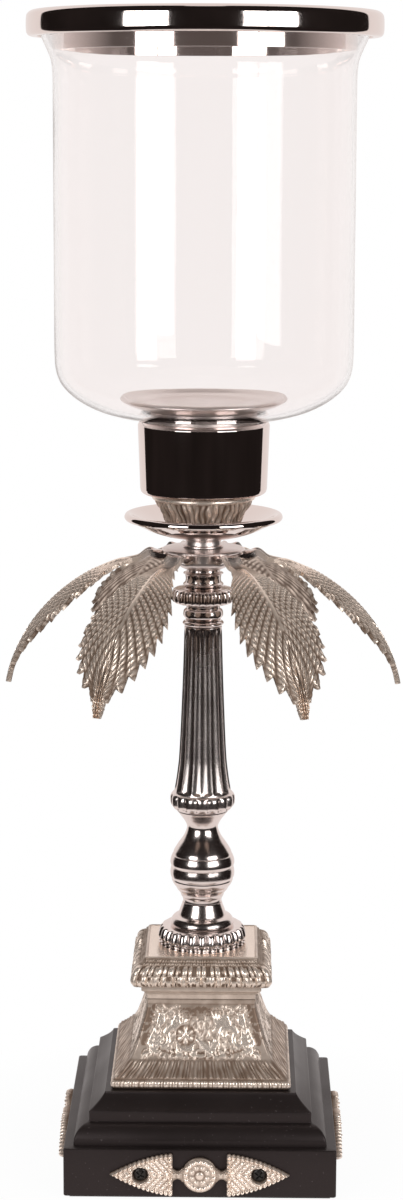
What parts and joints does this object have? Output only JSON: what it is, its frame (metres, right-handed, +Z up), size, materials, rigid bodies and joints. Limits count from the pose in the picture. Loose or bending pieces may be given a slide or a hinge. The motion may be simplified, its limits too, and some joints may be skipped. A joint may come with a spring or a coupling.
{
  "type": "hurricane candle holder",
  "caption": "Hurricane candle holder: glass shade with a metal rim in a cup on a palm tree standard, on a square pedestal and a wooden base.",
  "frame": {"origin": "on the ground at the middle of the base", "axes": "+Z up the column, -Y towards the front face of the base, +X to the viewer's right"},
  "size_m": [0.208, 0.1822, 0.6011],
  "materials": {
    "polished_nickel": "polished nickel plate, slightly warm, mirror bright",
    "antique_nickel": "cast white metal with an antique nickel finish, brown grey in the hollows and brushed bright on the high spots",
    "black_lacquer": "turned and mitred wood under satin black lacquer",
    "clear_glass": "clear blown glass",
    "black_screw": "round headed steel screws, blackened",
    "plain_steel": "zinc plated steel hardware",
    "black_felt": "black felt",
    "clear_rubber": "soft clear sealing ring"
  },
  "bodies": {
    "stand": {"felt_pad": "black_felt", "wood_base": "black_lacquer", "base_mount_front": "antique_nickel", "base_mount_right": "antique_nickel", "base_mount_back": "antique_nickel", "base_mount_left": "antique_nickel", "mount_screw_front_1": "black_screw", "mount_screw_front_2": "black_screw", "mount_screw_right_1": "black_screw", "mount_screw_right_2": "black_screw", "mount_screw_back_1": "black_screw", "mount_screw_back_2": "black_screw", "mount_screw_left_1": "black_screw", "mount_screw_left_2": "black_screw", "base_nut": "plain_steel", "base_washer": "plain_steel", "tie_rod": "plain_steel", "pedestal_body": "antique_nickel", "pedestal_cap": "antique_nickel", "gadrooned_dome": "polished_nickel", "pear_knop": "polished_nickel", "fluted_shaft": "polished_nickel", "bead_ring": "polished_nickel", "lower_collar": "polished_nickel", "gadroon_ring": "polished_nickel", "collar_drum": "polished_nickel", "leaf_hub": "polished_nickel", "palm_leaf_1": "antique_nickel", "palm_leaf_2": "antique_nickel", "palm_leaf_3": "antique_nickel", "palm_leaf_4": "antique_nickel", "palm_leaf_5": "antique_nickel", "palm_leaf_6": "antique_nickel", "neck_spacer": "polished_nickel", "drip_pan": "polished_nickel", "calyx_cone": "antique_nickel", "glass_cup": "polished_nickel", "cup_washer": "plain_steel", "cup_nut": "plain_steel", "glass_seal": "clear_rubber"},
    "glass": {"glass_shade": "clear_glass", "rim_ring": "polished_nickel"},
    "plate": {"candle_plate": "polished_nickel"}
  },
  "joints": [
    {"name": "shade_lift", "type": "slide", "parent": "stand", "child": "glass", "axis": [0, 0, 1], "range_m": [0, 0.06]},
    {"name": "plate_lift", "type": "slide", "parent": "glass", "child": "plate", "axis": [0, 0, 1], "range_m": [0, 0.25]}
  ]
}
